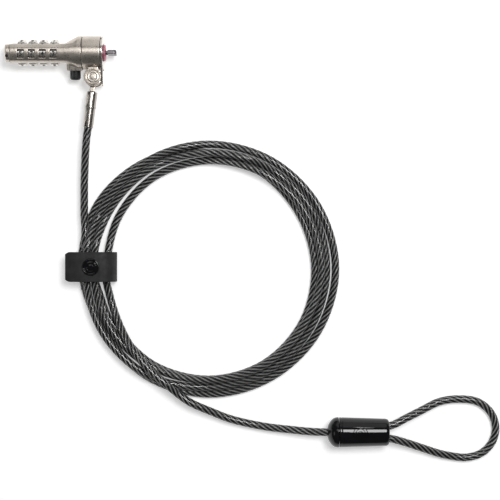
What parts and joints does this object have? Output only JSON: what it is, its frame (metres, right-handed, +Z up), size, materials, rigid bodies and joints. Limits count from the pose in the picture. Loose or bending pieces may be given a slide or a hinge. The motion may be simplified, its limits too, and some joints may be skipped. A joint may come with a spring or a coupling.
{
  "type": "laptop cable lock",
  "caption": "Combination lock head with push button and T-bar nose on a swivel collar, with a tied coil of clear-jacketed steel cable ending in a sleeved loop.",
  "frame": {"origin": "on the table under the middle of the lock head with its eye and ferrule, leaving out the cable and what is on it", "axes": "+X along the lock head from the end cap to the T-bar, +Z up from the table, -Y the way the cable leaves the head"},
  "size_m": [0.2697, 0.2318, 0.0182],
  "materials": {
    "satin_nickel": "satin nickel plate on cast zinc",
    "dark_steel": "hardened steel, dark",
    "bright_steel": "plain steel",
    "brass": "turned brass",
    "crimp_alloy": "pressed",
    "pink_rubber": "translucent soft washer",
    "black_rubber": "matt moulded strap",
    "black_plastic": "smooth, glossy",
    "jacketed_cable": "smoke-clear jacket over stranded steel"
  },
  "bodies": {
    "cable_end": {"cable_eye": "satin_nickel", "ferrule": "satin_nickel", "cable_lead": "jacketed_cable", "cable_coil": "jacketed_cable", "cable_run": "jacketed_cable", "cable_loop": "jacketed_cable", "tie_strap": "black_rubber", "snap_cap": "black_plastic", "snap_stud": "bright_steel", "sleeve_bell": "black_plastic", "sleeve_cover": "black_plastic", "loop_crimp": "crimp_alloy"},
    "swivel_collar": {"collar": "satin_nickel", "front_plate": "satin_nickel", "rivet": "satin_nickel"},
    "lock_body": {"lock_housing": "satin_nickel", "end_cap": "satin_nickel", "spindle": "bright_steel", "spindle_spring": "bright_steel", "nose_core": "bright_steel", "retaining_ring": "dark_steel", "nose_washer": "pink_rubber", "button_spring": "bright_steel"},
    "wheel_1": {"dial_1": "satin_nickel", "hub_1": "brass"},
    "wheel_2": {"dial_2": "satin_nickel", "hub_2": "brass"},
    "wheel_3": {"dial_3": "satin_nickel", "hub_3": "brass"},
    "wheel_4": {"dial_4": "satin_nickel", "hub_4": "brass"},
    "button": {"push_button": "black_plastic"},
    "locking_bar": {"t_bar": "dark_steel"},
    "code_set": {"code_screw": "dark_steel"}
  },
  "joints": [
    {"name": "cable_swing", "type": "hinge", "parent": "cable_end", "child": "swivel_collar", "pos_m": [0.0179, 0.00261, 0.00905], "axis": [0, 0, 1], "range_deg": [-90, 45]},
    {"name": "head_swivel", "type": "hinge", "parent": "swivel_collar", "child": "lock_body", "pos_m": [0, 0.01596, 0.00905], "axis": [1, 0, 0], "continuous": true},
    {"name": "wheel_1_turn", "type": "hinge", "parent": "lock_body", "child": "wheel_1", "pos_m": [-0.0208, 0.01596, 0.00905], "axis": [1, 0, 0], "continuous": true},
    {"name": "wheel_2_turn", "type": "hinge", "parent": "lock_body", "child": "wheel_2", "pos_m": [-0.01493, 0.01596, 0.00905], "axis": [1, 0, 0], "continuous": true},
    {"name": "wheel_3_turn", "type": "hinge", "parent": "lock_body", "child": "wheel_3", "pos_m": [-0.00906, 0.01596, 0.00905], "axis": [1, 0, 0], "continuous": true},
    {"name": "wheel_4_turn", "type": "hinge", "parent": "lock_body", "child": "wheel_4", "pos_m": [-0.00319, 0.01596, 0.00905], "axis": [1, 0, 0], "continuous": true},
    {"name": "button_press", "type": "slide", "parent": "lock_body", "child": "button", "axis": [0, 0.9816, 0.1908], "range_m": [0, 0.002], "stiffness_N_per_m": 800, "springref_m": -0.001},
    {"name": "t_bar_turn", "type": "hinge", "parent": "lock_body", "child": "locking_bar", "pos_m": [0.01985, 0.01596, 0.00905], "axis": [1, 0, 0], "range_deg": [0, 90]},
    {"name": "code_screw_turn", "type": "hinge", "parent": "lock_body", "child": "code_set", "pos_m": [-0.0283, 0.01392, 0.01375], "axis": [0, -0.1908, 0.9816], "range_deg": [0, 90]}
  ],
  "couplings": [
    {"joint": "t_bar_turn", "follows": "button_press", "rad_per_m": 785}
  ]
}
